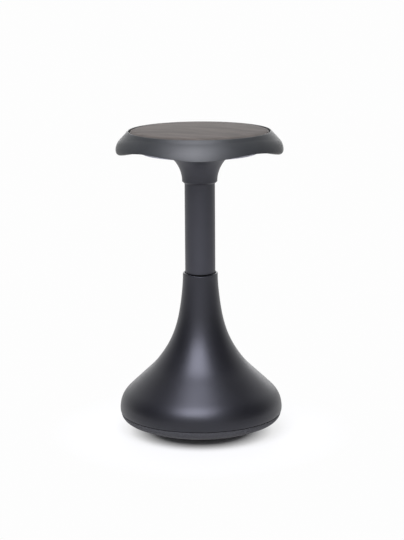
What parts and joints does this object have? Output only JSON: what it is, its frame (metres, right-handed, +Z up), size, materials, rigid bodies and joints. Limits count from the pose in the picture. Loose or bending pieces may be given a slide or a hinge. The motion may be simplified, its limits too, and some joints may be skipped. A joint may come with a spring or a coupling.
{
  "type": "wobble stool",
  "caption": "Round padded wobble stool with a waved seat rim, a height-adjustable column and a bell-shaped base on a rounded rubber sole.",
  "frame": {"origin": "centre of the sole's flat patch, on the floor", "axes": "+Z up along the column; the front lobe of the seat points along -Y; the release rocker lies towards +X"},
  "size_m": [0.3398, 0.3398, 0.635],
  "materials": {
    "sole_rubber": "matt, finely textured",
    "pan_plastic": "matt moulded",
    "cast_iron": "rough cast",
    "black_steel": "satin black powder coat",
    "bell_plastic": "satin, fine grain",
    "liner_plastic": "smooth black",
    "bush_plastic": "smooth natural acetal",
    "bright_steel": "bright turned",
    "chromed_steel": "polished chrome",
    "bronze_cage": "stamped",
    "seal_rubber": "smooth",
    "column_plastic": "satin, fine grain",
    "ring_plastic": "satin moulded",
    "core_plastic": "matt moulded",
    "plywood": "sanded birch",
    "foam": "open-cell foam",
    "pad_fabric": "close woven, grey-brown",
    "rim_skin": "satin soft skin"
  },
  "bodies": {
    "base": {"floor_sole": "sole_rubber", "base_pan": "pan_plastic", "ballast_plate": "cast_iron", "base_flange": "black_steel", "taper_hub": "black_steel", "base_bell": "bell_plastic", "collar_liner": "liner_plastic", "gas_tube": "black_steel", "guide_bush": "bush_plastic", "bearing_lower_race": "bright_steel", "flange_bolts": "bright_steel", "flange_nuts": "bright_steel", "shell_screws": "bright_steel"},
    "bearing_cage": {"ball_cage": "bronze_cage", "bearing_balls": "bright_steel"},
    "lift_rod": {"piston_rod": "chromed_steel", "piston": "bush_plastic", "rod_clip": "bright_steel", "bearing_upper_race": "bright_steel", "thrust_washer": "bright_steel", "rubber_buffer": "seal_rubber"},
    "seat": {"gas_cylinder": "chromed_steel", "rod_guide": "bush_plastic", "valve_block": "bright_steel", "column_sleeve": "column_plastic", "neck_boot": "column_plastic", "neck_screws": "bright_steel", "seat_plate": "black_steel", "taper_socket": "black_steel", "pivot_bracket": "black_steel", "rocker_pin": "bright_steel", "seat_core": "core_plastic", "plate_bolts": "bright_steel", "tee_nuts": "bright_steel", "pad_screws": "bright_steel", "ring_guide_screws": "bright_steel", "ring_springs": "bright_steel", "pad_board": "plywood", "pad_foam": "foam", "pad_cover": "pad_fabric", "seat_rim": "rim_skin"},
    "release_ring": {"release_ring": "ring_plastic"},
    "release_rocker": {"release_rocker": "bright_steel"},
    "release_pin": {"release_pin": "bright_steel"}
  },
  "joints": [
    {"name": "seat_swivel", "type": "hinge", "parent": "base", "child": "lift_rod", "pos_m": [0, 0, 0.0435], "axis": [0, 0, 1], "continuous": true},
    {"name": "bearing_cage_turn", "type": "hinge", "parent": "base", "child": "bearing_cage", "pos_m": [0, 0, 0.0436], "axis": [0, 0, 1], "continuous": true},
    {"name": "seat_height", "type": "slide", "parent": "lift_rod", "child": "seat", "axis": [0, 0, 1], "range_m": [-0.18, 0]},
    {"name": "release_ring_lift", "type": "slide", "parent": "seat", "child": "release_ring", "axis": [0, 0, 1], "range_m": [0, 0.005], "stiffness_N_per_m": 600, "springref_m": -0.005, "deforming": ["ring_springs"]},
    {"name": "release_rocker_turn", "type": "hinge", "parent": "seat", "child": "release_rocker", "pos_m": [0.032, 0, 0.5924], "axis": [0, -1, 0], "range_deg": [0, 6.75]},
    {"name": "release_pin_press", "type": "slide", "parent": "seat", "child": "release_pin", "axis": [0, 0, -1], "range_m": [0, 0.00426]}
  ],
  "couplings": [
    {"joint": "bearing_cage_turn", "follows": "seat_swivel", "ratio": 0.5},
    {"joint": "release_rocker_turn", "follows": "release_ring_lift", "rad_per_m": 23.5},
    {"joint": "release_pin_press", "follows": "release_ring_lift", "ratio": 0.85}
  ]
}
